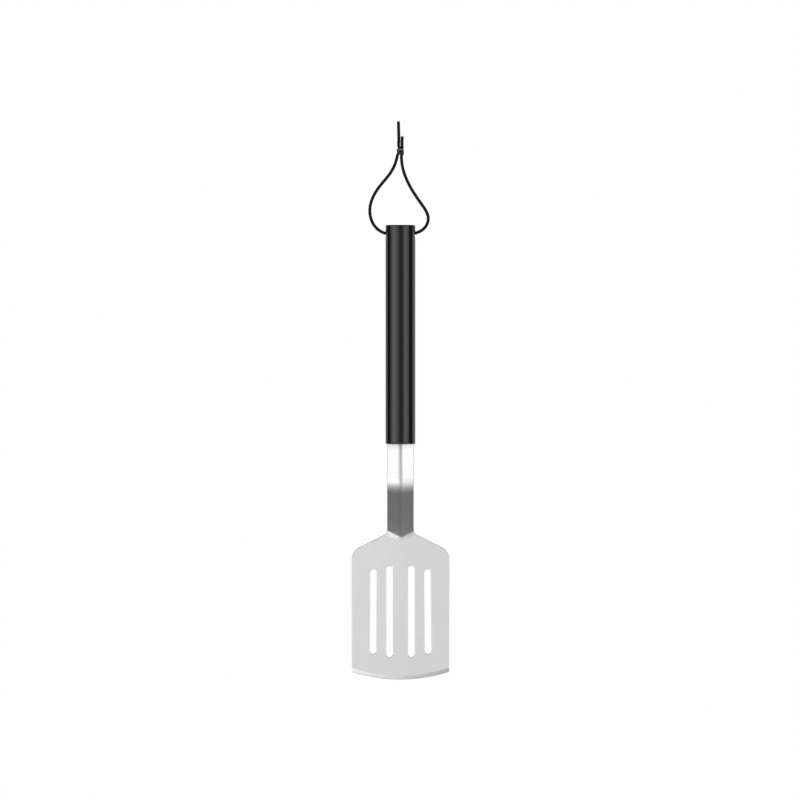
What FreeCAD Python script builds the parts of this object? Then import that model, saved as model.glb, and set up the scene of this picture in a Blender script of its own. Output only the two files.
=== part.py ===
import FreeCAD, Part
import math
import os

import Sketcher
from FreeCAD import Placement, Rotation, Vector

# Grill spatula with a tubular handle, a one-piece folded and pressed steel blade and a
# knotted hanging cord.
#
# Frame: the origin is the centre of the handle's top end and +Z runs up along the handle,
# away from the blade. -Y is the side that faces up in use: the folded ridge of the shank
# points that way and the blade is set back towards +Y. The cord holes lie along X.

DIMENSIONS = {
    # tubular handle
    "handle_diameter": 28.0,
    "handle_length": 204.4,
    "handle_wall": 1.2,
    "handle_end_radius": 1.0,
    "cord_hole_diameter": 7.2,
    "cord_hole_depth": 9.3,
    # top cap, split liner and pin inside the handle
    "fit_gap": 0.05,
    "slot_gap": 0.15,
    "plug_chamfer": 0.6,
    "cap_thickness": 2.4,
    "cap_skirt_length": 4.8,
    "cap_skirt_wall": 1.8,
    "liner_length": 58.0,
    "liner_recess": 0.8,
    "tang_length": 56.0,
    "pin_inset": 12.0,
    "pin_diameter": 3.0,
    "pin_length": 22.0,
    # sheet of the blade and its folded shank
    "sheet_thickness": 1.5,
    "shank_width": 24.6,
    "ridge_height": 3.5,
    "ridge_radius": 8.0,
    "shank_straight": 32.6,
    "shank_bend_radius": 21.0,
    "crank_angle": 35.0,
    "neck_distance": 81.2,
    "crease_radius": 3.0,
    "rim_radius": 0.42,
    # blade outline
    "blade_reach": 220.0,
    "blade_width": 91.7,
    "blade_front_width": 91.0,
    "front_arc_radius": 147.0,
    "front_corner_radius": 1.5,
    "neck_drop": 2.3,
    "neck_radius": 5.6,
    "shoulder_angle": 26.5,
    "shoulder_radius": 14.2,
    "bevel_width": 3.7,
    "bevel_depth": 0.6,
    # slots, with the centres of their round ends measured back from the blade's tip
    "slot_width": 6.0,
    "inner_slot_x": 10.2,
    "inner_slot_near": 23.8,
    "inner_slot_far": 103.3,
    "outer_slot_x": 25.5,
    "outer_slot_spread": 0.25,
    "outer_slot_near": 26.9,
    "outer_slot_far": 100.1,
    # hanging cord
    "cord_diameter": 2.5,
    "knot_height": 69.4,
    "knot_width": 6.8,
    "knot_length": 7.5,
    "knot_depth": 5.6,
}

# Stations of the cord's centreline as (x, z), from one free end down through the knot and
# the left strand to the handle, across the bore and up the right strand to the other free
# end. The cord hangs in one plane. Each number has its own cell in the sheet.
CORD_STATIONS = {
    "left_tail": (-1.9, 96.7),
    "left_knot_top": (-1.6, 75.0),
    "left_knot_foot": (-2.8, 64.5),
    "left_neck": (-7.6, 51.3),
    "left_flank": (-20.5, 34.5),
    "left_bulge": (-28.6, 13.5),
    "left_turn": (-22.3, -3.1),
    "left_hole": (-14.0, -7.9),
    "bore_middle": (0.0, -9.0),
    "right_hole": (14.0, -7.7),
    "right_turn": (22.3, -3.1),
    "right_bulge": (26.0, 4.6),
    "right_flank": (18.9, 20.5),
    "right_neck": (7.6, 38.5),
    "right_knot_foot": (1.3, 58.0),
    "right_knot_top": (1.5, 75.0),
    "right_tail": (1.7, 82.7),
}

# Formulas shared by several features, written with the sheet's names.
TUBE_RADIUS = "dims.handle_diameter / 2"
PLUG_RADIUS = "(dims.handle_diameter / 2 - dims.handle_wall - dims.fit_gap)"
SHANK_HALF = "dims.shank_width / 2"
FOLD_SLOPE = "(2 * dims.ridge_height / dims.shank_width)"
FOLD_THICKNESS = f"(dims.sheet_thickness * sqrt(1 + {FOLD_SLOPE} ^ 2))"
RIDGE_FRONT = f"(-(dims.ridge_height + {FOLD_THICKNESS}) / 2)"
RIDGE_BACK = f"({RIDGE_FRONT} + {FOLD_THICKNESS})"
EDGE_FRONT = f"({RIDGE_FRONT} + dims.ridge_height)"
TANG_TOP = "(dims.tang_length - dims.handle_length)"
LINER_BOTTOM = "(dims.liner_recess - dims.handle_length)"
PIN_HEIGHT = f"({TANG_TOP} - dims.pin_inset)"
CREASE_HEIGHT = "(-dims.handle_length - dims.neck_distance)"
TIP_HEIGHT = "(-dims.handle_length - dims.blade_reach)"
# The flank edges leave the bend and run down the crank until they reach the blade's face.
BLADE_FRONT = (
    f"(dims.shank_bend_radius * (1 - cos(dims.crank_angle)) + {EDGE_FRONT} * cos(dims.crank_angle)"
    " + tan(dims.crank_angle) * (dims.neck_distance - dims.shank_straight"
    f" + ({EDGE_FRONT} - dims.shank_bend_radius) * sin(dims.crank_angle)))"
)
BLADE_BACK = f"({BLADE_FRONT} + dims.sheet_thickness)"
NECK_HEIGHT = f"({CREASE_HEIGHT} - dims.neck_drop)"
SHOULDER_HEIGHT = (
    f"({NECK_HEIGHT} - (dims.blade_width - dims.shank_width) / 2 * tan(dims.shoulder_angle))"
)
FRONT_ARC_CENTRE = f"({TIP_HEIGHT} + dims.front_arc_radius)"
FRONT_CORNER_HEIGHT = (
    f"({FRONT_ARC_CENTRE} - sqrt(dims.front_arc_radius ^ 2 - (dims.blade_front_width / 2) ^ 2))"
)

# Sizes that only clear the finished piece: they overshoot what is cut or trimmed away.
OVERSHOOT = 4.0
CLEARING = 12.0

# Two positions closer than this count as the same when edges are picked.
SAME_PLACE = 0.01

for station, (across, height) in CORD_STATIONS.items():
    DIMENSIONS[f"{station}_x"] = across
    DIMENSIONS[f"{station}_z"] = height

doc = FreeCAD.newDocument("grill_spatula")
sheet = doc.addObject("Spreadsheet::Sheet", "dims")
for row, (alias, size) in enumerate(DIMENSIONS.items(), start=1):
    sheet.set(f"A{row}", alias)
    sheet.set(f"B{row}", str(size))
    sheet.setAlias(f"B{row}", alias)
doc.recompute()


def value(formula):
    """The number that a formula of the sheet's names gives."""
    result = sheet.evalExpression(str(formula))
    return float(getattr(result, "Value", result))


def new_body(label):
    body = doc.addObject("PartDesign::Body", label)
    body.Label = label
    return body


def new_sketch(body, name, role, offset="0"):
    """A sketch on one of the body's origin planes, moved along its normal by the offset."""
    sketch = body.newObject("Sketcher::SketchObject", name)
    plane = next(f for f in body.Origin.OriginFeatures if f.Role == role)
    sketch.AttachmentSupport = (plane, [""])
    sketch.MapMode = "FlatFace"
    sketch.setExpression("AttachmentOffset.Base.z", offset)
    return sketch


def bind(sketch, kind, *reference, formula):
    """Add a driven constraint whose size follows a formula."""
    size = value(formula)
    if kind == "Angle":
        size = math.radians(size)
    index = sketch.addConstraint(Sketcher.Constraint(kind, *reference, size))
    sketch.setExpression(f"Constraints[{index}]", str(formula))


def place(sketch, geometry, point, x, y):
    """Fix one point of a sketch element at formulas for its two coordinates."""
    bind(sketch, "DistanceX", -1, 1, geometry, point, formula=x)
    bind(sketch, "DistanceY", -1, 1, geometry, point, formula=y)


def add_line(sketch, start, end):
    points = [Vector(value(x), value(y), 0) for x, y in (start, end)]
    return sketch.addGeometry(Part.LineSegment(*points))


def add_circle(sketch, x, y, radius):
    centre = Vector(value(x), value(y), 0)
    circle = sketch.addGeometry(Part.Circle(centre, Vector(0, 0, 1), value(radius)))
    place(sketch, circle, 3, x, y)
    bind(sketch, "Radius", circle, formula=radius)
    return circle


def add_arc(sketch, x, y, radius, start_angle, end_angle):
    """An arc drawn counter-clockwise between two angles in degrees, not yet constrained."""
    circle = Part.Circle(Vector(x, y, 0), Vector(0, 0, 1), radius)
    arc = Part.ArcOfCircle(circle, math.radians(start_angle), math.radians(end_angle))
    return sketch.addGeometry(arc)


def coincide(sketch, first, second):
    """Join two sketch points, each given as an element and one of its ends."""
    sketch.addConstraint(Sketcher.Constraint("Coincident", *first, *second))


def smooth(sketch, first, second):
    """Join two sketch points so that their elements run on without a corner."""
    sketch.addConstraint(Sketcher.Constraint("Tangent", *first, *second))


def add_chain(sketch, corners):
    """Straight lines, end to end, through corners given as pairs of formulas."""
    lines = [add_line(sketch, start, end) for start, end in zip(corners, corners[1:])]
    for line, after in zip(lines, lines[1:]):
        coincide(sketch, (line, 2), (after, 1))
    for line, corner in zip(lines, corners):
        place(sketch, line, 1, *corner)
    place(sketch, lines[-1], 2, *corners[-1])
    return lines


def add_polygon(sketch, corners):
    """A closed outline of straight lines through corners given as pairs of formulas."""
    lines = add_chain(sketch, corners)
    closing = add_line(sketch, corners[-1], corners[0])
    coincide(sketch, (lines[-1], 2), (closing, 1))
    coincide(sketch, (closing, 2), (lines[0], 1))


def add_fold(sketch, half_width, ridge, radius):
    """Two flanks that rise from a rounded ridge on the -Y side, as line, arc and line."""
    slope = value(FOLD_SLOPE)
    angle = math.degrees(math.atan(slope))
    edge = f"{ridge} + {half_width} * {FOLD_SLOPE}"
    centre = value(ridge) + value(radius) * math.hypot(1, slope)
    run = value(radius) * math.sin(math.radians(angle))
    rise = value(ridge) + run * slope
    left = add_line(sketch, (f"-{half_width}", edge), (-run, rise))
    arc = add_arc(sketch, 0, centre, value(radius), 270 - angle, 270 + angle)
    right = add_line(sketch, (run, rise), (half_width, edge))
    smooth(sketch, (left, 2), (arc, 1))
    smooth(sketch, (arc, 2), (right, 1))
    place(sketch, left, 1, f"-{half_width}", edge)
    place(sketch, right, 2, half_width, edge)
    bind(sketch, "Angle", right, formula=f"atan({FOLD_SLOPE})")
    bind(sketch, "Radius", arc, formula=radius)
    bind(sketch, "DistanceX", -1, 1, arc, 3, formula="0")
    return left, right


def join_ends(sketch, first, second):
    """Close an outline with two straight sides, from each end of one pair to the other."""
    for point, start, finish in ((1, first[0], second[0]), (2, first[1], second[1])):
        ends = sketch.getPoint(start, point), sketch.getPoint(finish, point)
        side = sketch.addGeometry(Part.LineSegment(*ends))
        coincide(sketch, (side, 1), (start, point))
        coincide(sketch, (side, 2), (finish, point))


def close_fold_to(sketch, fold, half_width, far_side):
    """Close a fold with a straight-sided box that reaches a given distance along Y."""
    base, = add_chain(sketch, [(f"-{half_width}", far_side), (half_width, far_side)])
    join_ends(sketch, fold, (base, base))


def add_band(sketch, half_width):
    """The folded sheet's cross-section."""
    front = add_fold(sketch, half_width, RIDGE_FRONT, "dims.ridge_radius")
    back = add_fold(sketch, half_width, RIDGE_BACK, "(dims.ridge_radius - dims.sheet_thickness)")
    join_ends(sketch, front, back)


def pad(body, name, sketch, length, reverse=False, symmetric=False):
    feature = body.newObject("PartDesign::Pad", name)
    feature.Profile = sketch
    feature.SideType = "Symmetric" if symmetric else "One side"
    feature.Reversed = reverse
    feature.setExpression("Length", length)
    doc.recompute()
    return feature


def pocket(body, name, sketch, symmetric=False):
    """Cut a sketch right through, and make sure that the cut removed something."""
    before = body.Shape.Volume
    feature = body.newObject("PartDesign::Pocket", name)
    feature.Profile = sketch
    feature.Type = "ThroughAll"
    feature.SideType = "Symmetric" if symmetric else "One side"
    doc.recompute()
    if not body.Shape.Volume < before:
        raise RuntimeError(f"{name} removes nothing")
    return feature


def sweep(body, kind, name, profile, spine):
    feature = body.newObject(kind, name)
    feature.Profile = profile
    feature.Spine = (spine, [f"Edge{i + 1}" for i in range(len(spine.Shape.Edges))])
    doc.recompute()
    return feature


def round_edges(body, name, edges, radius):
    """Fillet the edges of the body's tip that a test accepts."""
    chosen = [f"Edge{i + 1}" for i, edge in enumerate(body.Tip.Shape.Edges) if edges(edge)]
    if not chosen:
        raise RuntimeError(f"{name} finds no edge")
    base = body.Tip
    feature = body.newObject("PartDesign::Fillet", name)
    feature.Base = (base, chosen)
    feature.setExpression("Radius", radius)
    doc.recompute()
    return feature


def is_near(number, formula):
    return abs(number - value(formula)) < SAME_PLACE


def make_handle_tube():
    body = new_body("handle_tube")
    ring = new_sketch(body, "TubeRing", "XY_Plane")
    add_circle(ring, "0", "0", TUBE_RADIUS)
    add_circle(ring, "0", "0", f"{TUBE_RADIUS} - dims.handle_wall")
    pad(body, "Tube", ring, "dims.handle_length", reverse=True)

    def is_outer_rim(edge):
        return isinstance(edge.Curve, Part.Circle) and is_near(edge.Curve.Radius, TUBE_RADIUS)

    round_edges(body, "RolledRims", is_outer_rim, "dims.handle_end_radius")
    hole = new_sketch(body, "CordHole", "YZ_Plane")
    add_circle(hole, "0", "-dims.cord_hole_depth", "dims.cord_hole_diameter / 2")
    pocket(body, "CordHoles", hole, symmetric=True)
    return body


def make_top_cap():
    body = new_body("top_cap")
    section = new_sketch(body, "CapSection", "XZ_Plane")
    inner = f"({PLUG_RADIUS} - dims.cap_skirt_wall)"
    add_polygon(section, [
        ("0", "0"),
        (f"{PLUG_RADIUS} - dims.plug_chamfer", "0"),
        (PLUG_RADIUS, "-dims.plug_chamfer"),
        (PLUG_RADIUS, "-dims.cap_skirt_length"),
        (inner, "-dims.cap_skirt_length"),
        (inner, "-dims.cap_thickness"),
        ("0", "-dims.cap_thickness"),
    ])
    turned = body.newObject("PartDesign::Revolution", "CapTurned")
    turned.Profile = section
    turned.ReferenceAxis = (section, ["V_Axis"])
    turned.Angle = 360
    doc.recompute()
    return body


def make_tang_shell(label, ridge, radius, far_side):
    """Half of the moulded liner that grips the tang, filling the bore on one side of it."""
    body = new_body(label)
    disc = new_sketch(body, "LinerDisc", "XY_Plane", LINER_BOTTOM)
    add_circle(disc, "0", "0", PLUG_RADIUS)
    pad(body, "Liner", disc, "dims.liner_length")
    round_edges(body, "LinerRims", lambda edge: isinstance(edge.Curve, Part.Circle), "dims.plug_chamfer")
    half_width = f"({PLUG_RADIUS} + {OVERSHOOT})"
    rest = new_sketch(body, "TangAndFarSide", "XY_Plane", LINER_BOTTOM)
    close_fold_to(rest, add_fold(rest, half_width, ridge, radius), half_width, far_side)
    pocket(body, "TangSeat", rest, symmetric=True)
    cut_pin_hole(body)
    return body


def make_front_shell():
    return make_tang_shell(
        "tang_shell_front",
        f"({RIDGE_FRONT} - dims.slot_gap)",
        "(dims.ridge_radius + dims.slot_gap)",
        f"{PLUG_RADIUS} + {OVERSHOOT}",
    )


def make_rear_shell():
    return make_tang_shell(
        "tang_shell_rear",
        f"({RIDGE_BACK} + dims.slot_gap)",
        "(dims.ridge_radius - dims.sheet_thickness - dims.slot_gap)",
        f"-({PLUG_RADIUS} + {OVERSHOOT})",
    )


def cut_pin_hole(body):
    hole = new_sketch(body, "PinHole", "XZ_Plane")
    add_circle(hole, "0", PIN_HEIGHT, "dims.pin_diameter / 2 + dims.fit_gap")
    pocket(body, "PinPassage", hole, symmetric=True)


def make_tang_pin():
    pin = doc.addObject("Part::Cylinder", "tang_pin")
    pin.Label = "tang_pin"
    pin.setExpression("Radius", "dims.pin_diameter / 2")
    pin.setExpression("Height", "dims.pin_length")
    pin.Placement = Placement(Vector(), Rotation(Vector(1, 0, 0), 90))
    pin.setExpression("Placement.Base.y", "dims.pin_length / 2")
    pin.setExpression("Placement.Base.z", PIN_HEIGHT)
    doc.recompute()
    return pin


def make_spine(body):
    """The path of the folded shank: straight tang, bend and crank, past the blade's plane."""
    spine = new_sketch(body, "ShankPath", "YZ_Plane")
    turn = value("dims.crank_angle")
    swing = math.radians(turn)
    radius = value("dims.shank_bend_radius")
    bend_top = "(-dims.handle_length - dims.shank_straight)"
    foot = CREASE_HEIGHT + " - dims.ridge_height / sin(dims.crank_angle)"
    foot_y = f"{BLADE_BACK} + {OVERSHOOT}"
    straight = add_line(spine, ("0", TANG_TOP), ("0", bend_top))
    bend = add_arc(spine, radius, value(bend_top), radius, 180, 180 + turn)
    bend_end = (radius * (1 - math.cos(swing)), value(bend_top) - radius * math.sin(swing))
    crank = add_line(spine, bend_end, (foot_y, foot))
    spine.addConstraint(Sketcher.Constraint("Vertical", straight))
    smooth(spine, (straight, 2), (bend, 1))
    smooth(spine, (bend, 2), (crank, 1))
    place(spine, straight, 1, "0", TANG_TOP)
    bind(spine, "DistanceY", -1, 1, straight, 2, formula=bend_top)
    bind(spine, "Radius", bend, formula="dims.shank_bend_radius")
    bind(spine, "Angle", crank, formula="dims.crank_angle - 90")
    bind(spine, "DistanceX", -1, 1, crank, 2, formula=foot_y)
    doc.recompute()
    return spine


def make_folded_sheet():
    """The sheet in side view: folded shank, bend, crank and flat blade, wider than the outline."""
    body = new_body("FoldedSheet")
    half_width = f"({SHANK_HALF} + {OVERSHOOT})"
    spine = make_spine(body)
    band = new_sketch(body, "SheetBand", "XY_Plane", TANG_TOP)
    add_band(band, half_width)
    doc.recompute()
    sweep(body, "PartDesign::AdditivePipe", "FoldedShank", band, spine)

    beyond = new_sketch(body, "BeyondBlade", "XZ_Plane", f"-{BLADE_BACK}")
    add_polygon(beyond, box_corners(f"{SHANK_HALF} + {CLEARING}", TIP_HEIGHT, TANG_TOP))
    pocket(body, "TrimCrank", beyond)

    plate = new_sketch(body, "BladePlate", "XZ_Plane", f"-{BLADE_FRONT}")
    top = f"{CREASE_HEIGHT} + {OVERSHOOT}"
    add_polygon(plate, box_corners(f"dims.blade_width / 2 + {OVERSHOOT}", f"{TIP_HEIGHT} - {OVERSHOOT}", top))
    pad(body, "Blade", plate, "dims.sheet_thickness", reverse=True)

    behind = new_sketch(body, "BehindFold", "XY_Plane", TANG_TOP)
    fold = add_fold(behind, half_width, RIDGE_BACK, "(dims.ridge_radius - dims.sheet_thickness)")
    close_fold_to(behind, fold, half_width, f"{RIDGE_BACK} + dims.ridge_height + {CLEARING}")
    doc.recompute()
    sweep(body, "PartDesign::SubtractivePipe", "ClearBehindCrank", behind, spine)
    round_crease(body)
    grind_front(body)
    return body


def box_corners(half_width, bottom, top):
    return [
        (f"-({half_width})", bottom),
        (half_width, bottom),
        (half_width, top),
        (f"-({half_width})", top),
    ]


def round_crease(body):
    """Round the V-shaped crease between crank and blade, inside on the front and out behind."""
    reach = value(SHANK_HALF) + OVERSHOOT

    def is_crease(face_height):
        def test(edge):
            box = edge.BoundBox
            on_face = is_near(box.YMin, face_height) and is_near(box.YMax, face_height)
            inside = max(-box.XMin, box.XMax) < reach + SAME_PLACE
            slanted = min(box.XLength, box.ZLength) > SAME_PLACE
            return on_face and inside and slanted
        return test

    round_edges(body, "FrontCrease", is_crease(BLADE_FRONT), "dims.crease_radius")
    round_edges(body, "BackCrease", is_crease(BLADE_BACK), "dims.crease_radius + dims.sheet_thickness")


def grind_front(body):
    """Bevel the blade's curved front edge on the side that faces up in use."""
    section = new_sketch(body, "BevelSection", "YZ_Plane")
    add_polygon(section, [
        (BLADE_FRONT, f"{TIP_HEIGHT} + dims.bevel_width"),
        (f"{BLADE_FRONT} + dims.bevel_depth", TIP_HEIGHT),
        (f"{BLADE_FRONT} + dims.bevel_depth", f"{TIP_HEIGHT} - {OVERSHOOT}"),
        (f"{BLADE_FRONT} - {OVERSHOOT}", f"{TIP_HEIGHT} - {OVERSHOOT}"),
        (f"{BLADE_FRONT} - {OVERSHOOT}", f"{TIP_HEIGHT} + dims.bevel_width"),
    ])
    axis, = add_chain(section, [(BLADE_FRONT, FRONT_ARC_CENTRE), (BLADE_BACK, FRONT_ARC_CENTRE)])
    section.toggleConstruction(axis)
    doc.recompute()
    before = body.Shape.Volume
    groove = body.newObject("PartDesign::Groove", "FrontBevel")
    groove.Profile = section
    groove.ReferenceAxis = (section, ["Axis0"])
    groove.Angle = 360
    doc.recompute()
    if not body.Shape.Volume < before:
        raise RuntimeError("FrontBevel removes nothing")


def stands_at(across, height):
    """A test for edges along Y at one height and at one distance to either side."""
    def test(edge):
        box = edge.BoundBox
        along_y = max(box.XLength, box.ZLength) < SAME_PLACE
        return along_y and is_near(abs(box.XMin), across) and is_near(box.ZMin, height)
    return test


def make_blade_outline():
    """The blade, neck, shank and tang as they look from the front, cut right through."""
    body = new_body("BladeOutline")
    depth = f"2 * ({BLADE_BACK} + {OVERSHOOT})"
    outline = new_sketch(body, "OutlineSketch", "XZ_Plane")
    draw_outline(outline)
    pad(body, "OutlinePrism", outline, depth, symmetric=True)
    for name, across, height, radius in (
        ("NeckFillets", SHANK_HALF, NECK_HEIGHT, "dims.neck_radius"),
        ("ShoulderFillets", "dims.blade_width / 2", SHOULDER_HEIGHT, "dims.shoulder_radius"),
        ("FrontCorners", "dims.blade_front_width / 2", FRONT_CORNER_HEIGHT, "dims.front_corner_radius"),
    ):
        round_edges(body, name, stands_at(across, height), radius)
    cut_slots(body)
    cut_pin_hole(body)
    return body


def draw_outline(sketch):
    """Straight sides through the outline's corners, closed by the curved front edge."""
    right = [
        ("dims.blade_front_width / 2", FRONT_CORNER_HEIGHT),
        ("dims.blade_width / 2", SHOULDER_HEIGHT),
        (SHANK_HALF, NECK_HEIGHT),
        (SHANK_HALF, TANG_TOP),
    ]
    left = [(f"-({across})", height) for across, height in reversed(right)]
    sides = add_chain(sketch, right + left)
    radius = value("dims.front_arc_radius")
    spread = math.degrees(math.asin(value("dims.blade_front_width / 2") / radius))
    front = add_arc(sketch, 0, value(TIP_HEIGHT) + radius, radius, 270 - spread, 270 + spread)
    coincide(sketch, (front, 2), (sides[0], 1))
    coincide(sketch, (front, 1), (sides[-1], 2))
    bind(sketch, "Radius", front, formula="dims.front_arc_radius")


def add_slot(sketch, near, far):
    """A round-ended slot between two centres, each given as a pair of formulas."""
    radius = value("dims.slot_width / 2")
    low = Vector(value(near[0]), value(near[1]), 0)
    high = Vector(value(far[0]), value(far[1]), 0)
    along = high - low
    heading = math.degrees(math.atan2(along.y, along.x))
    across = Vector(-along.y, along.x, 0).normalize() * radius
    top = add_arc(sketch, high.x, high.y, radius, heading - 90, heading + 90)
    bottom = add_arc(sketch, low.x, low.y, radius, heading + 90, heading + 270)
    left = sketch.addGeometry(Part.LineSegment(high + across, low + across))
    right = sketch.addGeometry(Part.LineSegment(low - across, high - across))
    smooth(sketch, (top, 2), (left, 1))
    smooth(sketch, (left, 2), (bottom, 1))
    smooth(sketch, (bottom, 2), (right, 1))
    smooth(sketch, (right, 2), (top, 1))
    place(sketch, top, 3, *far)
    place(sketch, bottom, 3, *near)
    bind(sketch, "Radius", top, formula="dims.slot_width / 2")


def cut_slots(body):
    slots = new_sketch(body, "SlotSketch", "XZ_Plane")
    add_slot(
        slots,
        ("dims.inner_slot_x", f"{TIP_HEIGHT} + dims.inner_slot_near"),
        ("dims.inner_slot_x", f"{TIP_HEIGHT} + dims.inner_slot_far"),
    )
    add_slot(
        slots,
        ("dims.outer_slot_x + dims.outer_slot_spread", f"{TIP_HEIGHT} + dims.outer_slot_near"),
        ("dims.outer_slot_x - dims.outer_slot_spread", f"{TIP_HEIGHT} + dims.outer_slot_far"),
    )
    cut = pocket(body, "Slots", slots, symmetric=True)
    mirror = body.newObject("PartDesign::Mirrored", "SlotsMirrored")
    mirror.Originals = [cut]
    plane = next(f for f in body.Origin.OriginFeatures if f.Role == "YZ_Plane")
    mirror.MirrorPlane = (plane, [""])
    body.Tip = mirror
    doc.recompute()


def is_cut_side(face):
    """Whether a face was cut along Y, so that it stands square to the blade's flat."""
    low_u, high_u, low_v, high_v = face.ParameterRange
    normal = face.normalAt((low_u + high_u) / 2, (low_v + high_v) / 2)
    return abs(normal.y) < SAME_PLACE


def rim_edges(shape):
    """Numbers of the edges between the sheet's surfaces and its cut sides."""
    numbers = []
    for number, edge in enumerate(shape.Edges, start=1):
        faces = shape.ancestorsOfType(edge, Part.Face)
        if len({is_cut_side(face) for face in faces}) == 2:
            numbers.append(number)
    return numbers


def make_blade():
    """One sheet of steel: the folded side view kept within the front view's outline."""
    cut = doc.addObject("Part::Common", "BladeCut")
    cut.Base = make_folded_sheet()
    cut.Tool = make_blade_outline()
    doc.recompute()
    blade = doc.addObject("Part::Fillet", "blade")
    blade.Label = "blade"
    blade.Base = cut
    radius = value("dims.rim_radius")
    blade.Edges = [(number, radius, radius) for number in rim_edges(cut.Shape)]
    doc.recompute()
    return blade


def make_hang_cord():
    """One length of cord through both holes, with its two ends knotted together."""
    points = [Vector(value(f"dims.{name}_x"), 0, value(f"dims.{name}_z")) for name in CORD_STATIONS]
    curve = Part.BSplineCurve()
    curve.interpolate(points)
    path = doc.addObject("Part::Feature", "CordPath")
    path.Shape = Part.Wire([curve.toShape()])

    section = doc.addObject("Part::Circle", "CordSection")
    section.setExpression("Radius", "dims.cord_diameter / 2")
    section.Placement = Placement(points[0], Rotation(Vector(0, 0, 1), curve.tangent(0)[0]))

    strand = doc.addObject("Part::Sweep", "CordStrand")
    strand.Sections = [section]
    strand.Spine = (path, ["Edge1"])
    strand.Solid = True
    # The path bends both ways, and a Frenet section would flip over where it changes.
    strand.Frenet = False

    knot = doc.addObject("Part::Ellipsoid", "CordKnot")
    knot.Angle1 = -90
    knot.setExpression("Radius1", "dims.knot_length / 2")
    knot.setExpression("Radius2", "dims.knot_width / 2")
    knot.setExpression("Radius3", "dims.knot_depth / 2")
    knot.setExpression("Placement.Base.z", "dims.knot_height")

    cord = doc.addObject("Part::Fuse", "hang_cord")
    cord.Label = "hang_cord"
    cord.Base = strand
    cord.Tool = knot
    doc.recompute()
    return cord


def check(parts):
    """Stop before anything is written if a feature failed or a part isn't one valid solid."""
    for item in doc.Objects:
        if "Invalid" in item.State or "Error" in item.State:
            raise RuntimeError(f"{item.Name} failed: {item.State}")
    for part in parts:
        shape = part.Shape
        if shape.isNull() or not shape.isValid() or len(shape.Solids) != 1:
            raise RuntimeError(f"{part.Label} isn't one valid solid")


parts = [
    make_handle_tube(),
    make_top_cap(),
    make_front_shell(),
    make_rear_shell(),
    make_tang_pin(),
    make_blade(),
    make_hang_cord(),
]
doc.recompute()
check(parts)
os.makedirs("parts", exist_ok=True)
for part in parts:
    part.Shape.exportStep(f"parts/{part.Label}.step")
    print(part.Label, round(part.Shape.Volume), "mm3")
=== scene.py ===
import functools
import math

import bpy
import numpy as np
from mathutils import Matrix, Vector
from mathutils.bvhtree import BVHTree


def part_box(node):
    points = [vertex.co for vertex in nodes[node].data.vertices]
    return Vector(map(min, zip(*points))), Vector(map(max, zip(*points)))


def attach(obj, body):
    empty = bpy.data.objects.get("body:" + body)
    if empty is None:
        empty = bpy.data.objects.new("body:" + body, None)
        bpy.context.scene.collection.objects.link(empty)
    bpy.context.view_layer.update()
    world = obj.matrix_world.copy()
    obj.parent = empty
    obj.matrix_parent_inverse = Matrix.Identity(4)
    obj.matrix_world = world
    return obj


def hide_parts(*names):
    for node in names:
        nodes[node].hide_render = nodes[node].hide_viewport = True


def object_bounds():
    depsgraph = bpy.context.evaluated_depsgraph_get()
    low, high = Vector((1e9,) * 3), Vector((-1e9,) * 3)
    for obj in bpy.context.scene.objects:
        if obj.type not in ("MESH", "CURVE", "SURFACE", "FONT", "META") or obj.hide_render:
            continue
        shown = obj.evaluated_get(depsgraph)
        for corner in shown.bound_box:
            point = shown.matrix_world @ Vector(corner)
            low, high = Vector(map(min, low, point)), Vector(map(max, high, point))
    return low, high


# Looks of a grill spatula: powder-coated tubular handle, satin steel blade, braided cord.
# Metres, in the CAD frame: +Z runs up along the handle and -Y is the side seen by the camera.

MM = 0.001

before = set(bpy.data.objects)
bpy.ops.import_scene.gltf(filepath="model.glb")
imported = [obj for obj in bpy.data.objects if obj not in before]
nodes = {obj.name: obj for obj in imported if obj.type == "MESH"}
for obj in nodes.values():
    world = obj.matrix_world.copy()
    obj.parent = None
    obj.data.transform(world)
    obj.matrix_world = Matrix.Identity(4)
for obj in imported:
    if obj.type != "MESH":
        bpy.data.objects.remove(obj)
cad_low, cad_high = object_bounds()
handle_low, handle_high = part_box("handle_tube")
blade_low, blade_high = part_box("blade")


# ---------------------------------------------------------------- shader building

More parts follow.
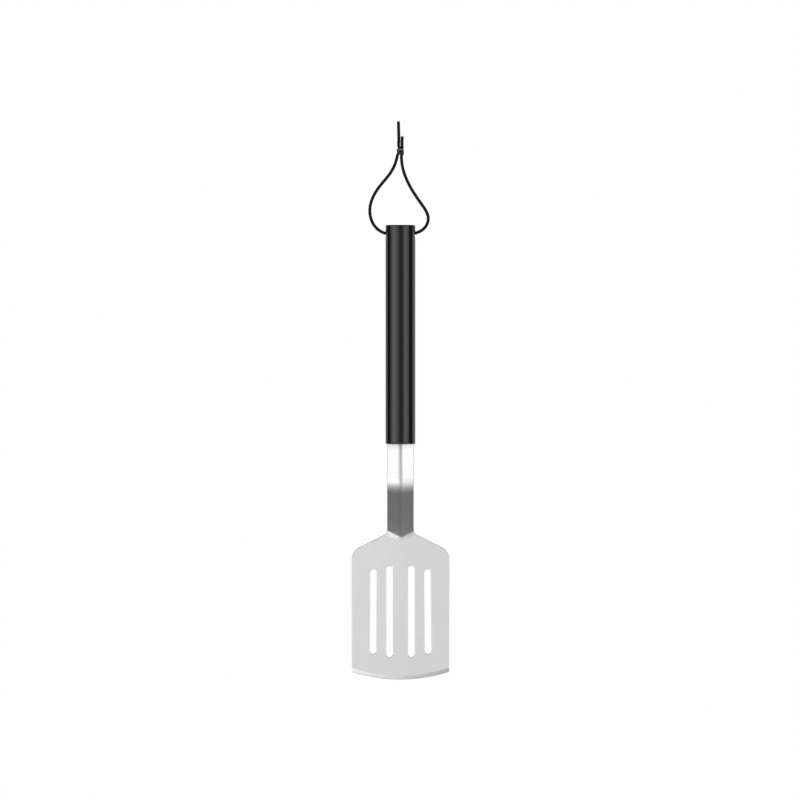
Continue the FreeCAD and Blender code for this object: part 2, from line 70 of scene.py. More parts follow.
class Shader:
    """Builds the node tree of one material or world."""

    def __init__(self, owner):
        owner.use_nodes = True
        self.tree = owner.node_tree
        self.tree.nodes.clear()

    def add(self, kind, inputs=None, **settings):
        """A new node, with its settings, and with each input either linked or set."""
        node = self.tree.nodes.new(kind)
        for name, setting in settings.items():
            setattr(node, name, setting)
        for key, source in (inputs or {}).items():
            if isinstance(source, bpy.types.NodeSocket):
                self.tree.links.new(source, node.inputs[key])
            else:
                node.inputs[key].default_value = source
        return node

    def maths(self, operation, *operands):
        return self.add("ShaderNodeMath", dict(enumerate(operands)), operation=operation).outputs[0]

    def times(self, *factors):
        """The product of any number of values."""
        return functools.reduce(lambda first, second: self.maths("MULTIPLY", first, second), factors)

    def ramp(self, value, low, high, start=0.0, end=1.0):
        """A smooth step from start to end as the value goes from low to high."""
        inputs = {"Value": value, 1: low, 2: high, 3: start, 4: end}
        return self.add("ShaderNodeMapRange", inputs, interpolation_type="SMOOTHSTEP").outputs[0]

    def blend(self, share, first, second):
        """A number that goes from first to second as the share goes from 0 to 1."""
        return self.add("ShaderNodeMix", {0: share, 2: first, 3: second}).outputs[0]

    def tint(self, share, first, second):
        """The same for two grey or coloured values."""
        inputs = {0: share, 6: colour(first), 7: colour(second)}
        return self.add("ShaderNodeMix", inputs, data_type="RGBA").outputs[2]

    def noise(self, place, scale, detail=2.0):
        inputs = {"Vector": place, "Scale": scale, "Detail": detail}
        return self.add("ShaderNodeTexNoise", inputs).outputs["Fac"]

    def stretched(self, place, across, depth, along):
        """The place scaled by different amounts along X, Y and Z."""
        inputs = {"Vector": place, "Scale": (across, depth, along)}
        return self.add("ShaderNodeMapping", inputs).outputs[0]

    def bump(self, height, distance, normal=None):
        inputs = {"Height": height, "Distance": distance, "Strength": 1.0}
        if normal is not None:
            inputs["Normal"] = normal
        return self.add("ShaderNodeBump", inputs).outputs[0]

    def place(self):
        """Place on the object in metres, which is the CAD frame for every piece at rest."""
        return self.add("ShaderNodeTexCoord").outputs["Object"]

    def facing(self):
        """The surface's normal in the CAD frame, as separate X, Y and Z."""
        normal = self.add("ShaderNodeTexCoord").outputs["Normal"]
        return self.add("ShaderNodeSeparateXYZ", {0: normal}).outputs

    def surface(self, **inputs):
        """A Principled surface as the output. Names are the sockets' with _ for each space."""
        named = {name.replace("_", " "): source for name, source in inputs.items()}
        shader = self.add("ShaderNodeBsdfPrincipled", named)
        self.add("ShaderNodeOutputMaterial", {"Surface": shader.outputs[0]})


def colour(value):
    """A grey as a full colour. Sockets and colours pass through."""
    return (value, value, value, 1.0) if isinstance(value, float) else value


def new_material(name):
    material = bpy.data.materials.new(name)
    return material, Shader(material)


# ---------------------------------------------------------------- materials

# Noise scales, in features to the metre.
ORANGE_PEEL = 900.0
COAT_GRAIN = 6000.0
COAT_PATCHES = 45.0
PLASTIC_GRAIN = 3500.0
PLASTIC_PATCHES = 150.0
STEEL_CLOUDS = 35.0

COAT_RIM = 1.2 * MM
COAT_GLOSS = 0.5
RIM_GLOSS = 0.28


def powder_coat():
    """Black satin powder coat with orange peel, duller in patches and on the rolled rims."""
    material, shader = new_material("powder_coat")
    place = shader.place()
    height = shader.add("ShaderNodeSeparateXYZ", {0: place}).outputs[2]
    peel = shader.noise(place, ORANGE_PEEL)
    grain = shader.noise(place, COAT_GRAIN, 3.0)
    patches = shader.noise(place, COAT_PATCHES, 3.0)
    near_top = shader.ramp(height, handle_high.z - COAT_RIM, handle_high.z)
    near_foot = shader.ramp(height, handle_low.z + COAT_RIM, handle_low.z)
    rim = shader.maths("ADD", near_top, near_foot)
    dullness = shader.blend(patches, 0.19, 0.23)
    shader.surface(
        Base_Color=shader.tint(patches, 0.002, 0.004),
        Roughness=shader.maths("ADD", dullness, shader.blend(grain, -0.03, 0.03)),
        Specular_IOR_Level=shader.blend(rim, COAT_GLOSS, RIM_GLOSS),
        Normal=shader.bump(grain, 0.003 * MM, shader.bump(peel, 0.012 * MM)),
    )
    return material


def moulded_black():
    """Matt black moulded plastic with a fine spark-eroded texture."""
    material, shader = new_material("moulded_black")
    place = shader.place()
    grain = shader.noise(place, PLASTIC_GRAIN, 4.0)
    patches = shader.noise(place, PLASTIC_PATCHES)
    shader.surface(
        Base_Color=shader.tint(patches, 0.010, 0.018),
        Roughness=shader.blend(grain, 0.45, 0.62),
        Normal=shader.bump(grain, 0.02 * MM),
    )
    return material


# Where the neck, the crease's upper ends and the crank lie between the blade's tip, 0, and
# the handle's foot, 1.
NECK_SHARE = 0.61
CREASE_SHARE = 0.64
CRANK_SHARE = 0.70

# Brushed lines: long along Z, fine across it.
THREADS = (6000.0, 6000.0, 60.0)
LINES = (1500.0, 1500.0, 18.0)

# Painted light and shade in the steel's base colour, as factors: the left side painted lighter,
# the shank's sides and the shank under the handle painted darker, a painted highlight and painted
# shade under the crease, painted dark reflections on the cut rims, and painted light and shade
# where the sheet leans down.
LEFT_PAINTED_LIGHT = 1.04
LEFT_FLANK_PAINTED_SHADE = 0.82
RIGHT_FLANK_PAINTED_SHADE = 0.94
HANDLE_PAINTED_SHADOW = 0.8
CREASE_PAINTED_HIGHLIGHT = 1.18
CREASE_PAINTED_SHADE = 0.87
UPPER_RIM_PAINTED_SHADE = 0.06
SIDE_RIM_PAINTED_SHADE = 0.1
LEANING_PAINTED_LIGHT = 1.3
LEANING_PAINTED_SHADE = 0.66

# Where those places begin and end: distances, a share, then parts of the unit normal.
FLANK_BLEND = 2 * MM
HANDLE_SHADOW_REACH = 7.5 * MM
CREASE_START = (0.0, 0.8 * MM)
CREASE_FADE = (7 * MM, 3.5 * MM)
CREASE_TURN = (-5 * MM, 0.0)
CREASE_INNER = 0.8
FACING_UP = (0.05, 0.3)
FACING_ASIDE = (0.35, 0.6)
LEANING_DOWN = (0.03, 0.10)
TOO_STEEP = (0.45, 0.30)
LEANING_ASIDE = (-0.09, 0.09)


def sheet_height(share):
    """Height of a place on the steel sheet between the blade's tip, 0, and the handle, 1."""
    return blade_low.z + share * (handle_low.z - blade_low.z)


def satin_steel():
    """Stainless sheet brushed along its length; its colour carries painted light and shade, darker on the
    shank and on its cut rims.
    """
    material, shader = new_material("satin_steel")
    place = shader.place()
    x, _, height = shader.add("ShaderNodeSeparateXYZ", {0: place}).outputs
    threads = shader.noise(shader.stretched(place, *THREADS), 1.0, 2.0)
    lines = shader.noise(shader.stretched(place, *LINES), 1.0, 3.0)
    clouds = shader.noise(place, STEEL_CLOUDS, 3.0)
    bright = shader.tint(shader.times(lines, clouds), 0.70, 0.79)
    # Painted light and shade scale the steel's base colour.
    shade = painted_steel_light(shader, x, height)
    base = shader.add("ShaderNodeVectorMath", {0: bright, "Scale": shade}, operation="SCALE").outputs[0]
    polish = shader.ramp(height, sheet_height(NECK_SHARE), handle_low.z)
    dullness = shader.blend(polish, 0.43, 0.30)
    shader.surface(
        Base_Color=base,
        Metallic=1.0,
        Roughness=shader.maths("ADD", dullness, shader.blend(threads, -0.05, 0.05)),
        Anisotropic=0.6,
        Tangent=shader.add("ShaderNodeCombineXYZ", {0: 1.0}).outputs[0],
        Normal=shader.bump(threads, 0.0015 * MM),
    )
    return material


def painted_steel_light(shader, x, height):
    """Painted light and shade on the steel at a place, as a factor on its base colour: about 1 on the
    plain blade.
    """
    crease = sheet_height(CREASE_SHARE)
    shank = shader.ramp(height, sheet_height(NECK_SHARE), crease)
    below_crank = shader.ramp(height, sheet_height(CRANK_SHARE), crease)
    # Painted light: the steel is made lighter towards its left side.
    painted_left_light = shader.ramp(x, blade_low.x, blade_high.x, LEFT_PAINTED_LIGHT, 1.0)
    # Painted shade: the shank is made darker, its left side more than its right, to suit how the light
    # falls on each.
    painted_flank_shade = shader.ramp(x, -FLANK_BLEND, FLANK_BLEND, LEFT_FLANK_PAINTED_SHADE, RIGHT_FLANK_PAINTED_SHADE)
    # Painted shadow of the handle on the shank, darkest at the handle's foot.
    painted_handle_shadow = shader.ramp(height, handle_low.z - HANDLE_SHADOW_REACH, handle_low.z, 1.0, HANDLE_PAINTED_SHADOW)
    return shader.times(
        shader.blend(shank, 1.0, painted_flank_shade),
        painted_left_light,
        painted_edge_light(shader, shank, below_crank),
        painted_crease_light(shader, x, height),
        painted_handle_shadow,
    )


def painted_crease_light(shader, x, height):
    """Painted highlight to the left and painted shade to the right, just under the V of the crease."""
    neck = sheet_height(NECK_SHARE)
    half_width = (handle_high.x - handle_low.x) / 2
    rise = (sheet_height(CREASE_SHARE) - neck) / half_width
    aside = shader.maths("ABSOLUTE", x)
    line = shader.maths("ADD", shader.times(aside, rise), neck)
    below = shader.maths("SUBTRACT", line, height)
    under = shader.times(
        shader.ramp(below, *CREASE_START),
        shader.ramp(below, *CREASE_FADE),
        shader.ramp(aside, half_width, CREASE_INNER * half_width),
    )
    # Painted highlight to the left of the crease's V and painted shade to its right.
    return shader.blend(under, 1.0, shader.ramp(x, *CREASE_TURN, CREASE_PAINTED_HIGHLIGHT, CREASE_PAINTED_SHADE))


def painted_edge_light(shader, shank, below_crank):
    """Painted light and shade where the sheet isn't flat, told from its normal.

    Cut rims get painted shade, a painted dark reflection: very dark where they face up on the blade
    and on the shank's sides. Where the ground bevel and the pressed crease lean down they get
    painted light to the left and painted shade to the right."""
    x, _, z = shader.facing()
    blade = shader.maths("SUBTRACT", 1.0, shank)
    # Painted shade: cut rims facing up on the blade, and the shank's side rims, get a painted dark
    # reflection.
    upper_rim = shader.times(shader.ramp(z, *FACING_UP), blade)
    side_rim = shader.times(shader.ramp(shader.maths("ABSOLUTE", x), *FACING_ASIDE), shank)
    down = shader.times(z, -1.0)
    # Painted light to the left and painted shade to the right where the bevel and crease lean down.
    leaning = shader.times(shader.ramp(down, *LEANING_DOWN), shader.ramp(down, *TOO_STEEP), below_crank)
    return shader.times(
        shader.blend(upper_rim, 1.0, UPPER_RIM_PAINTED_SHADE),
        shader.blend(side_rim, 1.0, SIDE_RIM_PAINTED_SHADE),
        shader.blend(leaning, 1.0, shader.ramp(x, *LEANING_ASIDE, LEANING_PAINTED_LIGHT, LEANING_PAINTED_SHADE)),
    )


# Fibres along a yarn: how often they change across it, along it and from yarn to yarn.
FIBRES = (14.0, 1.5, 1.0)
# Painted shade in the grooves between yarns.
GROOVE_PAINTED_SHADE = 0.002
YARN_BLACK = 0.007
# Painted highlight grey on the front of the knot's wraps.
PAINTED_HIGHLIGHT_GREY = 0.14


def black_cord():
    """Waxed black yarn: a soft sheen, paler fibres along each yarn, yarns that differ a little, painted
    shade in the grooves between yarns and a painted highlight on the front of the knot's wraps.
    """
    material, shader = new_material("black_cord")
    yarn = shader.add("ShaderNodeAttribute", attribute_name="yarn").outputs["Fac"]
    crown = shader.add("ShaderNodeAttribute", attribute_name="crown").outputs["Fac"]
    fibre_place = shader.add("ShaderNodeAttribute", attribute_name="fibre").outputs["Vector"]
    # The painted highlight on the knot's front wraps, read from the mesh.
    rubbed = shader.add("ShaderNodeAttribute", attribute_name="rubbed").outputs["Fac"]
    fibres = shader.noise(shader.stretched(fibre_place, *FIBRES), 1.0, 3.0)
    # Painted shade: the colour darkens off each yarn's crown into the grooves; fibres and yarns also vary
    # in tone.
    tone = shader.times(crown, shader.blend(fibres, 0.5, 1.2), shader.blend(yarn, 0.7, 1.1))
    crown_tint = shader.tint(rubbed, YARN_BLACK, PAINTED_HIGHLIGHT_GREY)
    shader.surface(
        Base_Color=shader.tint(tone, GROOVE_PAINTED_SHADE, crown_tint),
        Roughness=shader.blend(fibres, 0.5, 0.7),
        Specular_IOR_Level=0.12,
        Sheen_Weight=0.02,
        Normal=shader.bump(fibres, 0.03 * MM),
    )
    return material


def dress_cad_nodes():
    """Give each CAD node that stays in view its finished material."""
    plastic = moulded_black()
    steel = satin_steel()
    finishes = {
        "handle_tube": powder_coat(),
        "top_cap": plastic,
        "tang_shell_front": plastic,
        "tang_shell_rear": plastic,
        "tang_pin": steel,
        "blade": steel,
    }
    for name, material in finishes.items():
        nodes[name].data.materials.clear()
        nodes[name].data.materials.append(material)


# ---------------------------------------------------------------- cord

# Measuring: the pace along the CAD cord, and how much wider than the cord the knot is.
STEP = 1.0 * MM
PAST_SURFACE = 0.01 * MM
KNOT_WIDENING = 1.3

# The knot, in thicknesses of the squeezed cord from its centre.
SQUEEZE = 0.9
CORE_OFFSET = 0.5
CORE_HEIGHTS = (0.9, 0.3, -0.3, -0.9)
LOWER_WRAP = -1.3
UPPER_WRAP = -0.2
WRAP_END = 0.95
FRONT_ARCH = 0.5
BACK_ARCH = 0.75
WRAP_POINTS = 6
KNOT_REACH = 1.8
# Painted highlight on the knot's wraps: the height it starts from, and its least and most strength.
HIGHLIGHT_FROM = -1.1
LEAST_HIGHLIGHT = 0.35
MOST_HIGHLIGHT = 1.2

# The braid: yarns in each direction, and how far each stands proud as a share of the radius.
SWELL = 1.14
YARNS = 8
BRAID_ANGLE = math.radians(38)
YARN_RELIEF = 0.08
WEAVE_LIFT = 0.55
MEAN_HEIGHT = 1.1
TONE_STEP = 0.618

# The mesh: points round the cord, the gap between rings, and how many rings a change takes.
SIDES = 32
RING_SPACING = 0.22 * MM
CURVE_SAMPLES = 40
SWELL_RINGS = 8
SEAL_RINGS = 3
SEALED_GIRTH = 0.86


class CordSolid:
    """The plain CAD cord, measured by rays in its own plane, y = 0."""

    def __init__(self, node):
        mesh = node.data
        corners = [v.co.copy() for v in mesh.vertices]
        self.tree = BVHTree.FromPolygons(corners, [tuple(p.vertices) for p in mesh.polygons])
        self.low, self.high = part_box(node.name)

    def section(self, point, direction):
        """Where the surface lies to both sides of a point inside the cord, or None."""
        ahead = self.tree.ray_cast(point, direction)[0]
        behind = self.tree.ray_cast(point, -direction)[0]
        return None if ahead is None or behind is None else (ahead, behind)

    def crossings(self, start, direction):
        """Every point where a ray from outside goes through the surface."""
        found = []
        here = start
        while True:
            hit = self.tree.ray_cast(here, direction)[0]
            if hit is None:
                return found
            found.append(hit)
            here = hit + direction * PAST_SURFACE

    def follow(self, start, heading, thickness):
        """Centre points from start along the cord, up to its end or to the knot."""
        points = [start]
        while True:
            guess = points[-1] + heading * STEP
            side = heading.cross(Vector((0, 1, 0)))
            faces = self.section(guess, side)
            if faces is None:
                end = self.tree.ray_cast(points[-1], heading)[0]
                return points if end is None else points + [end]
            if (faces[0] - faces[1]).length > KNOT_WIDENING * thickness:
                return points
            centre = (faces[0] + faces[1]) / 2
            heading = (centre - points[-1]).normalized()
            points.append(centre)


def smoothed(points, rounds=4):
    """The same run of points with facet noise evened out and its two ends kept."""
    line = np.array(points)
    for _ in range(rounds):
        line[1:-1] = (line[:-2] + 2 * line[1:-1] + line[2:]) / 4
    return line


def thinned(line):
    """About every fourth point of a run, with both ends."""
    chosen = np.linspace(0, len(line) - 1, max(2, len(line) // 4))
    return line[chosen.round().astype(int)]


def measure_cord():
    """Runs of centre points: the loop from one knot side round to the other, and both tails."""
    solid = CordSolid(nodes["hang_cord"])
    up = Vector((0, 0, 1))
    right = Vector((1, 0, 0))
    bottom, top = solid.crossings(Vector((0, 0, solid.low.z - STEP)), up)[:2]
    thickness = (top - bottom).length
    middle = (bottom + top) / 2
    right_strand = solid.follow(middle, right, thickness)
    left_strand = solid.follow(middle, -right, thickness)
    loop = left_strand[::-1] + right_strand[1:]

    below_end = solid.high.z - STEP
    faces = solid.crossings(Vector((solid.low.x - STEP, 0, below_end)), right)
    start = (faces[0] + faces[1]) / 2
    end = solid.tree.ray_cast(start, up)[0]
    long_tail = [end] + solid.follow(start, -up, thickness)
    knot_top = long_tail[-1].z
    faces = solid.crossings(Vector((solid.low.x - STEP, 0, knot_top + STEP)), right)
    short_tail = solid.follow((faces[2] + faces[3]) / 2, up, thickness)
    return thickness, smoothed(loop), smoothed(long_tail), smoothed(short_tail)


def cord_path():
    """The whole cord from the long tail's end to the short tail's end, with its knot tied.

    The long tail runs on as the knot's core. The other strand is wrapped round it twice: level
    across the front, climbing behind, with its second turn arched up in front and behind."""
    thickness, loop, long_tail, short_tail = measure_cord()
    squeezed = SQUEEZE * thickness
    tails = (long_tail[-1] + short_tail[0]) / 2
    feet = (loop[0] + loop[-1]) / 2
    knot = np.array((tails[0], 0, (tails[2] + feet[2]) / 2))
    core = [knot + squeezed * np.array((-CORE_OFFSET, 0, height)) for height in CORE_HEIGHTS]
    lower = half_wrap(LOWER_WRAP, LOWER_WRAP, -1) + half_wrap(LOWER_WRAP, UPPER_WRAP, 1)
    upper_front = half_wrap(UPPER_WRAP, UPPER_WRAP, -1, FRONT_ARCH)
    upper_back = half_wrap(UPPER_WRAP, WRAP_END, 1, BACK_ARCH)
    wraps = knot + squeezed * np.array(lower + upper_front + upper_back)
    keys = np.vstack([thinned(long_tail), core, thinned(loop), wraps, thinned(short_tail)])
    path = spline(keys)
    _, depth, height = ((path - knot) / squeezed).T
    in_knot = np.abs(height) < KNOT_REACH
    # Painted highlight: the knot's wraps are paler towards the front and higher up.
    rubbed = np.clip(-depth, 0, 1) * np.clip(height - HIGHLIGHT_FROM, LEAST_HIGHLIGHT, MOST_HIGHLIGHT)
    return thickness, path, in_knot, rubbed


def half_wrap(start, end, side, arch=0.0):
    """Points half way round the core, in squeezed thicknesses: side -1 is in front, 1 behind."""
    points = []
    for share in np.linspace(0, 1, WRAP_POINTS, endpoint=False):
        swing = math.sin(math.pi * share)
        across = -side * math.cos(math.pi * share)
        points.append((across, side * swing, start + (end - start) * share + arch * swing ** 3))
    return points


def spline(keys):
    """A smooth curve through the keys, sampled at an even spacing."""
    gaps = np.sqrt(np.linalg.norm(np.diff(keys, axis=0), axis=1))
    knots = np.concatenate([[0], np.cumsum(gaps)])
    padded = np.vstack([2 * keys[0] - keys[1], keys, 2 * keys[-1] - keys[-2]])
    marks = np.concatenate([[-gaps[0]], knots, [knots[-1] + gaps[-1]]])
    pieces = []
    for i in range(1, len(padded) - 2):
        t = np.linspace(marks[i], marks[i + 1], CURVE_SAMPLES, endpoint=False)[:, None]
        p = padded[i - 1:i + 3]
        k = marks[i - 1:i + 3]
        a = [((k[j + 1] - t) * p[j] + (t - k[j]) * p[j + 1]) / (k[j + 1] - k[j]) for j in range(3)]
        b = [((k[j + 2] - t) * a[j] + (t - k[j]) * a[j + 1]) / (k[j + 2] - k[j]) for j in range(2)]
        pieces.append(((k[2] - t) * b[0] + (t - k[1]) * b[1]) / (k[2] - k[1]))
    dense = np.vstack(pieces + [keys[-1:]])
    travelled = np.concatenate([[0], np.cumsum(np.linalg.norm(np.diff(dense, axis=0), axis=1))])
    count = int(travelled[-1] / RING_SPACING)
    evenly = np.linspace(0, travelled[-1], count)
    return np.column_stack([np.interp(evenly, travelled, dense[:, axis]) for axis in range(3)])


def frames_along(path):
    """Two directions across the path at each point, carried along it without twisting."""
    tangents = np.gradient(path, axis=0)
    tangents /= np.linalg.norm(tangents, axis=1)[:, None]
    sides = np.zeros_like(path)
    side = np.cross(tangents[0], (0, 1, 0))
    for i, tangent in enumerate(tangents):
        side = side - tangent * np.dot(side, tangent)
        side /= np.linalg.norm(side)
        sides[i] = side
    return sides, np.cross(tangents, sides)


def braid(travelled, turn, thickness):
    """Height and yarn of a round braid at a distance along it and a share of a turn round it.

    Yarns of the two directions take turns on top, as in a plain weave laid round a core."""
    cell = math.pi * thickness / YARNS / math.tan(BRAID_ANGLE)
    first = YARNS * turn + travelled / cell
    second = YARNS * turn - travelled / cell
    first_lift = np.sin(np.pi * (second + np.floor(first)))
    second_lift = -np.sin(np.pi * (first + np.floor(second)))
    first_crown = np.sqrt(1 - (2 * (first % 1) - 1) ** 2)
    second_crown = np.sqrt(1 - (2 * (second % 1) - 1) ** 2)
    first_height = first_crown + WEAVE_LIFT * first_lift
    second_height = second_crown + WEAVE_LIFT * second_lift
    first_on_top = first_height > second_height
    height = np.maximum(first_height, second_height)
    crown = np.where(first_on_top, first_crown, second_crown)
    yarn = np.where(first_on_top, np.floor(first) % YARNS, YARNS + np.floor(second) % YARNS)
    fibre_across = np.where(first_on_top, first % 1, second % 1) + yarn
    fibre_along = np.where(first_on_top, second, first)
    return height, crown, (yarn * TONE_STEP) % 1, fibre_across, fibre_along


def girth_along(in_knot):
    """The cord's girth at each ring: swollen outside the knot, drawn in at its sealed ends."""
    girth = np.where(in_knot, 1.0, SWELL)
    span = 2 * SWELL_RINGS + 1
    girth = np.convolve(np.pad(girth, SWELL_RINGS, mode="edge"), np.ones(span) / span, mode="valid")
    ring = np.arange(len(girth))
    from_end = np.minimum(ring, ring[::-1])
    return girth * np.minimum(1.0, SEALED_GIRTH + (1 - SEALED_GIRTH) * from_end / SEAL_RINGS)


def braided_tube(path, radius, turn):
    """The tube's points: a ring round each point of the path, then the middle of each end."""
    sides, ups = frames_along(path)
    angle = 2 * np.pi * turn
    rings = (
        path[:, None, :]
        + (radius * np.cos(angle))[..., None] * sides[:, None, :]
        + (radius * np.sin(angle))[..., None] * ups[:, None, :]
    )
    return np.vstack([rings.reshape(-1, 3), path[:1], path[-1:]])


def add_layers(mesh, fibre_across, fibre_along, **values):
    """Store what the cord's material reads: a number per point for each name, and fibre places."""
    for name, numbers in values.items():
        layer = mesh.attributes.new(name, "FLOAT", "POINT")
        layer.data.foreach_set("value", np.append(numbers.ravel(), (0.5, 0.5)).astype(np.float32))
    fibre = np.zeros((len(mesh.vertices), 3), np.float32)
    fibre[:-2, 0] = fibre_across.ravel()
    fibre[:-2, 1] = fibre_along.ravel()
    mesh.attributes.new("fibre", "FLOAT_VECTOR", "POINT").data.foreach_set("vector", fibre.ravel())


def make_cord():
    """A closed braided cord along the measured path, with sealed square-cut ends."""
    thickness, path, in_knot, rubbed = cord_path()
    around = np.ones((1, SIDES))
    travelled = np.arange(len(path))[:, None] * RING_SPACING * around
    turn = np.arange(SIDES)[None, :] / SIDES * np.ones((len(path), 1))
    height, crown, yarn, fibre_across, fibre_along = braid(travelled, turn, thickness)
    full = thickness / 2 * girth_along(in_knot)
    radius = full[:, None] * (1 + YARN_RELIEF * (height - MEAN_HEIGHT))
    points = braided_tube(path, radius, turn)
    mesh = bpy.data.meshes.new("hang_cord_braid")
    mesh.from_pydata(points.tolist(), [], tube_faces(len(path)))
    # The painted highlight goes on the mesh as a layer for the material.
    add_layers(mesh, fibre_across, fibre_along, yarn=yarn, crown=crown, rubbed=rubbed[:, None] * around)
    mesh.shade_smooth()
    mesh.materials.append(black_cord())
    cord = bpy.data.objects.new("hang_cord_braid", mesh)
    bpy.context.scene.collection.objects.link(cord)
    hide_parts("hang_cord")
    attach(cord, "cord")


def tube_faces(rings):
    """Quads between neighbouring rings and a fan over each end."""
    faces = []
    for ring in range(rings - 1):
        for side in range(SIDES):
            after = (side + 1) % SIDES
            low = ring * SIDES
            faces.append((low + side, low + after, low + SIDES + after, low + SIDES + side))
    first = rings * SIDES
    last = first + 1
    end = (rings - 1) * SIDES
    for side in range(SIDES):
        after = (side + 1) % SIDES
        faces.append((after, side, first))
        faces.append((end + side, end + after, last))
    return faces


# ---------------------------------------------------------------- studio

# Brightness of the studio walls at eye height by azimuth in degrees. 0 is behind the camera
# and 90 to its right: a softbox to each side, dark flags beyond them, a pale wall at the back.
WALLS = {
    -180: 0.85,
    -128: 0.85,
    -112: 0.0,
    -92: 0.0,
    -78: 0.8,
    -58: 2.4,
    -42: 2.4,
    -24: 1.2,
    -8: 0.4,
    8: 0.3,
    19: 0.75,
    34: 2.2,
    50: 2.2,
    63: 1.1,
    78: 0.0,
    95: 0.0,
    114: 0.85,
    180: 0.85,
}
WALL_PEAK = 2.5
LOW_WALLS = 1.15
CEILING = 0.05
GROUND = 0.165

# Elevations in degrees over which the walls change to each of those.
TO_LOW_WALLS = (-12.0, -36.0)
TO_CEILING = (15.0, 50.0)
TO_GROUND = (-5.0, -72.0)

# The camera sees white behind the object and pale elsewhere: degrees from straight behind.
PALE = 0.84
WHITE_EDGE = 14
WHITE_CORE = 6

# A low light to the left and a dark flag to the right: azimuth, elevation and spread in degrees.
KICKER = (-17, -14, 16)
KICKER_BRIGHTNESS = 1.2
FLAG = (17, -14, 16)
FLAG_SHADE = 0.7


def within(shader, direction, azimuth, elevation, spread):
    """How near a direction is to the one given in degrees: 1 at it, 0 from the spread on."""
    turn = math.radians(azimuth)
    lift = math.radians(elevation)
    aim = (math.sin(turn) * math.cos(lift), -math.cos(turn) * math.cos(lift), math.sin(lift))
    near = shader.add("ShaderNodeVectorMath", {0: direction, 1: aim}, operation="DOT_PRODUCT")
    return shader.ramp(near.outputs["Value"], math.cos(math.radians(spread)), 1.0)


def stop_at(stops, place):
    """The colour ramp's own stop at either end, or a new one between them."""
    if place == 0.0:
        return stops[0]
    if place == 1.0:
        return stops[-1]
    return stops.new(place)


def wall_ring(shader, x, y):
    """Brightness of the studio walls at eye height in a direction."""
    azimuth = shader.maths("ARCTAN2", x, shader.times(y, -1.0))
    share = shader.maths("ADD", shader.maths("DIVIDE", azimuth, 2 * math.pi), 0.5)
    walls = shader.add("ShaderNodeValToRGB", {0: share})
    walls.color_ramp.interpolation = "EASE"
    stops = walls.color_ramp.elements
    for angle, brightness in WALLS.items():
        place = angle / 360 + 0.5
        stop = stop_at(stops, place)
        stop.position = place
        stop.color = colour(brightness / WALL_PEAK)
    return shader.times(walls.outputs[0], WALL_PEAK)


def studio_light(shader, direction, x, y, z):
    """What surfaces see: the ring of walls with its ceiling and ground, a kicker and a flag."""
    ring = wall_ring(shader, x, y)
    elevation = shader.times(shader.maths("ARCSINE", z), 180 / math.pi)
    low_ring = shader.maths("MINIMUM", ring, LOW_WALLS)
    ring = shader.blend(shader.ramp(elevation, *TO_LOW_WALLS), ring, low_ring)
    upper = shader.blend(shader.ramp(elevation, *TO_CEILING), ring, CEILING)
    studio = shader.blend(shader.ramp(elevation, *TO_GROUND), upper, GROUND)
    kicker = shader.times(within(shader, direction, *KICKER), KICKER_BRIGHTNESS)
    flag = shader.times(within(shader, direction, *FLAG), FLAG_SHADE)
    return shader.times(shader.maths("ADD", studio, kicker), shader.maths("SUBTRACT", 1.0, flag))


def make_world():
    """A white backdrop behind the object, and the studio's walls and lights in reflections."""
    world = bpy.data.worlds.new("studio")
    bpy.context.scene.world = world
    shader = Shader(world)
    direction = shader.add("ShaderNodeTexCoord").outputs["Generated"]
    x, y, z = shader.add("ShaderNodeSeparateXYZ", {0: direction}).outputs
    studio = studio_light(shader, direction, x, y, z)
    edge = math.cos(math.radians(WHITE_EDGE))
    backdrop = shader.ramp(y, edge, math.cos(math.radians(WHITE_CORE)), PALE, 1.0)
    seen = shader.add("ShaderNodeLightPath").outputs["Is Camera Ray"]
    light = shader.add("ShaderNodeBackground", {0: shader.blend(seen, studio, backdrop)})
    shader.add("ShaderNodeOutputWorld", {"Surface": light.outputs[0]})


LAMP_HEIGHT = 1.3
LAMP_SIDE = 1.2
LAMP_POWER = 20.0


def make_lamp():
    """A large soft lamp overhead that lights the floor and stays out of reflections."""
    data = bpy.data.lights.new("overhead", "AREA")
    data.size = LAMP_SIDE
    data.energy = LAMP_POWER
    lamp = bpy.data.objects.new("overhead", data)
    lamp.location = (0, 0, LAMP_HEIGHT)
    lamp.visible_camera = False
    lamp.visible_glossy = False
    bpy.context.scene.collection.objects.link(lamp)


FLOOR_DROP = 0.135
FLOOR_RADIUS = 1.2
FLOOR_CORE = 0.3
FLOOR_SIDES = 96
FLOOR_GREY = 0.6


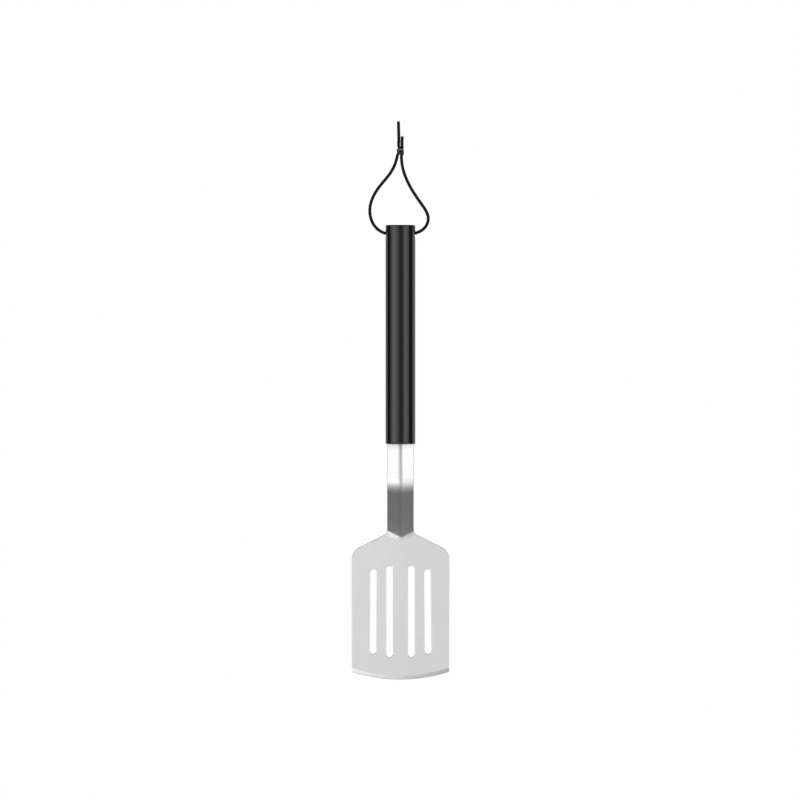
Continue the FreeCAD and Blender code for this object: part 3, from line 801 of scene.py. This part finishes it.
def make_floor():
    """A pale disc below the blade that fades into the backdrop at its rim."""
    ring = [
        (FLOOR_RADIUS * math.cos(angle), FLOOR_RADIUS * math.sin(angle), cad_low.z - FLOOR_DROP)
        for angle in np.linspace(0, 2 * math.pi, FLOOR_SIDES, endpoint=False)
    ]
    mesh = bpy.data.meshes.new("floor")
    mesh.from_pydata(ring, [], [tuple(range(len(ring)))])
    material, shader = new_material("floor")
    x, y, _ = shader.add("ShaderNodeSeparateXYZ", {0: shader.place()}).outputs
    level = shader.add("ShaderNodeCombineXYZ", {0: x, 1: y}).outputs[0]
    distance = shader.add("ShaderNodeVectorMath", {0: level}, operation="LENGTH").outputs["Value"]
    cover = shader.ramp(distance, FLOOR_RADIUS, FLOOR_CORE * FLOOR_RADIUS)
    matt = shader.add("ShaderNodeBsdfDiffuse", {"Color": colour(FLOOR_GREY)}).outputs[0]
    clear = shader.add("ShaderNodeBsdfTransparent").outputs[0]
    mixed = shader.add("ShaderNodeMixShader", {0: cover, 1: clear, 2: matt}).outputs[0]
    shader.add("ShaderNodeOutputMaterial", {"Surface": mixed})
    mesh.materials.append(material)
    floor = bpy.data.objects.new("floor", mesh)
    floor.visible_glossy = False
    floor.visible_diffuse = False
    bpy.context.scene.collection.objects.link(floor)


SENSOR_WIDTH = 36.0
CAMERA_DISTANCE = 30.0
CLIP_END = 100.0
HEIGHT_SHARE = 0.698

# The camera aims a little left of the handle's axis and above the middle of the object.
AIM_SHIFT = Vector((-0.4 * MM, 0, 0.5 * MM))


def make_camera():
    """A long lens straight at the object's front. Its height fills HEIGHT_SHARE of the frame."""
    data = bpy.data.cameras.new("camera")
    data.sensor_width = SENSOR_WIDTH
    frame_height = (cad_high.z - cad_low.z) / HEIGHT_SHARE
    data.lens = SENSOR_WIDTH * CAMERA_DISTANCE / frame_height
    data.clip_end = CLIP_END
    camera = bpy.data.objects.new("camera", data)
    centre = (cad_low + cad_high) / 2
    camera.location = Vector((0, centre.y - CAMERA_DISTANCE, centre.z)) + AIM_SHIFT
    camera.rotation_euler = (math.radians(90), 0, 0)
    bpy.context.scene.collection.objects.link(camera)
    bpy.context.scene.camera = camera


dress_cad_nodes()
make_cord()
make_world()
make_lamp()
make_floor()
make_camera()
bpy.context.scene.view_settings.view_transform = "Standard"
